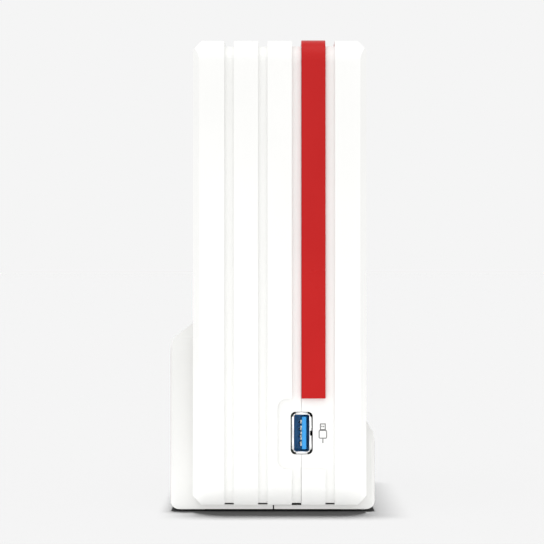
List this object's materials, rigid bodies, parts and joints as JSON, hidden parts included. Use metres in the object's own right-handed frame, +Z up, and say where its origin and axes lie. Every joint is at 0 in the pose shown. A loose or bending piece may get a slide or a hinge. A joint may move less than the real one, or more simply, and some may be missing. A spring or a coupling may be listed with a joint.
{
  "type": "network attached storage",
  "caption": "Upright network storage box: ribbed split case on an offset stand, red accent rib, USB port in front, fan, buttons and sockets behind, board and hard drive inside.",
  "frame": {"origin": "on the floor, under the middle of the stand (bottom centre of the bounding box)", "axes": "+Z up; -Y towards the ribbed front with the USB port; +X towards the flank whose cover slides off"},
  "size_m": [0.07, 0.196, 0.1611],
  "materials": {
    "shell_white": "satin moulded white",
    "stand_white": "satin moulded off-white",
    "accent_red": "glossy red inlay",
    "panel_grey": "fine textured light grey",
    "button_white": "polished white",
    "pad_grey": "soft light grey pad",
    "bush_rubber": "matt black rubber",
    "clear_acrylic": "clear moulded acrylic",
    "fan_black": "black glass-filled plastic",
    "cable_black": "smooth cable sheath",
    "screw_zinc": "zinc plated steel",
    "screw_black": "black oxide steel",
    "plate_steel": "galvanised sheet",
    "shaft_steel": "ground steel",
    "bearing_bronze": "sintered bronze",
    "winding_copper": "enamelled copper wire",
    "board_green": "green solder mask",
    "chip_black": "moulded epoxy",
    "sink_aluminium": "extruded aluminium",
    "pin_white": "white nylon",
    "ferrite_grey": "moulded powder core",
    "can_sleeve": "printed sleeve",
    "cell_steel": "nickel plated cell",
    "led_lens": "clear lens",
    "jack_metal": "tin plated can",
    "contact_gold": "gold plated spring",
    "socket_black": "black moulding",
    "pin_nickel": "nickel plated pin",
    "port_steel": "bright nickel plated shell",
    "port_blue": "blue moulding",
    "drive_cast": "cast and machined aluminium",
    "drive_cover": "brushed cover plate",
    "disc_mirror": "polished platter",
    "ink_grey": "pad-printed grey ink",
    "ceramic_tan": "fired ceramic chip parts"
  },
  "bodies": {
    "housing": {"left_cover": "shell_white", "left_stand": "stand_white", "left_feet": "pad_grey", "left_stand_screws": "screw_zinc", "rear_panel": "panel_grey", "lock_plate": "plate_steel", "fan_frame": "fan_black", "fan_bearing": "bearing_bronze", "fan_stator": "winding_copper", "fan_screws": "screw_black", "fan_lead": "cable_black", "main_board": "board_green", "processor": "chip_black", "heatsink": "sink_aluminium", "heatsink_pins": "pin_white", "memory_chips": "chip_black", "controller_chips": "chip_black", "power_inductors": "ferrite_grey", "capacitors": "can_sleeve", "clock_battery": "cell_steel", "buzzer": "chip_black", "status_leds": "led_lens", "network_jack": "jack_metal", "network_contacts": "contact_gold", "power_jack": "socket_black", "power_jack_pin": "pin_nickel", "usb_shell": "port_steel", "usb_insert": "port_blue", "usb_contacts": "pin_nickel", "sata_socket": "socket_black", "power_switch": "socket_black", "reset_switch": "socket_black", "board_screws": "screw_zinc", "board_tray": "plate_steel", "tray_screws": "screw_zinc", "drive_bracket": "plate_steel", "drive_grommets": "bush_rubber", "drive_screws": "screw_zinc", "drive_housing": "drive_cast", "drive_lid": "drive_cover", "drive_board": "board_green", "drive_connector": "socket_black", "drive_shafts": "shaft_steel", "magnet_yokes": "plate_steel"},
    "service_cover": {"right_cover": "shell_white", "accent_stripe": "accent_red", "right_stand": "stand_white", "right_feet": "pad_grey", "right_stand_screws": "screw_zinc", "light_guide": "clear_acrylic"},
    "fan_blades": {"fan_rotor": "fan_black", "fan_shaft": "shaft_steel"},
    "power_key": {"power_button": "button_white"},
    "reset_key": {"reset_plunger": "socket_black"},
    "drive_spindle": {"drive_platters": "disc_mirror", "spindle_hub": "drive_cast"},
    "head_arm": {"actuator": "drive_cast", "voice_coil": "winding_copper"}
  },
  "joints": [
    {"name": "cover_slide", "type": "slide", "parent": "housing", "child": "service_cover", "axis": [1, 0, 0], "range_m": [0, 0.07]},
    {"name": "fan_spin", "type": "hinge", "parent": "housing", "child": "fan_blades", "pos_m": [0.0024, 0.0851, 0.119], "axis": [0, 1, 0], "continuous": true},
    {"name": "power_press", "type": "slide", "parent": "housing", "child": "power_key", "axis": [0, -1, 0], "range_m": [0, 0.001], "stiffness_N_per_m": 500, "springref_m": -0.0008},
    {"name": "reset_press", "type": "slide", "parent": "housing", "child": "reset_key", "axis": [0, -1, 0], "range_m": [0, 0.0005], "stiffness_N_per_m": 500, "springref_m": -0.0005},
    {"name": "spindle_spin", "type": "hinge", "parent": "housing", "child": "drive_spindle", "pos_m": [-0.013, -0.0372, 0.0708], "axis": [1, 0, 0], "continuous": true},
    {"name": "arm_swing", "type": "hinge", "parent": "housing", "child": "head_arm", "pos_m": [-0.0145, 0.0178, 0.0548], "axis": [1, 0, 0], "range_deg": [0, 31.4]}
  ]
}
